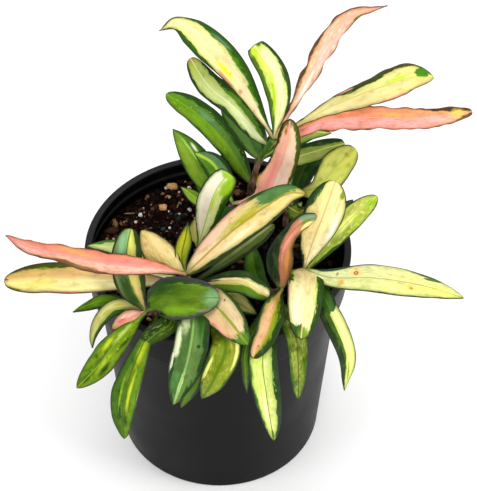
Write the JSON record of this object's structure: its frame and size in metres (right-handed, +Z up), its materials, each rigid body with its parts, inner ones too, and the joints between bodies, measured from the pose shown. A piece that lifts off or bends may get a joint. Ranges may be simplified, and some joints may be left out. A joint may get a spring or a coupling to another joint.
{
  "type": "potted variegated hoya wayetii",
  "caption": "Round nursery pot filled with bark soil, with several trailing leafy stems whose narrow cream, pink and green leaves spread and hang over the rim.",
  "frame": {"origin": "centre of the flat pad under the pot's floor, on the ground plane and on the pot's axis", "axes": "+Z up along the pot's axis, -Y towards the side that the picture was taken from, +X to the viewer's right"},
  "size_m": [0.1856, 0.1352, 0.1777],
  "materials": {
    "pot": "satin",
    "soil": "matte",
    "leaves": "satin"
  },
  "bodies": {
    "root": {"pot": "pot", "soil": "soil", "stem_back": "leaves", "stem_middle": "leaves", "stem_centre": "leaves", "stem_front": "leaves", "stem_left": "leaves", "stem_right_front": "leaves", "stem_right": "leaves", "stem_right_back": "leaves"}
  },
  "joints": []
}
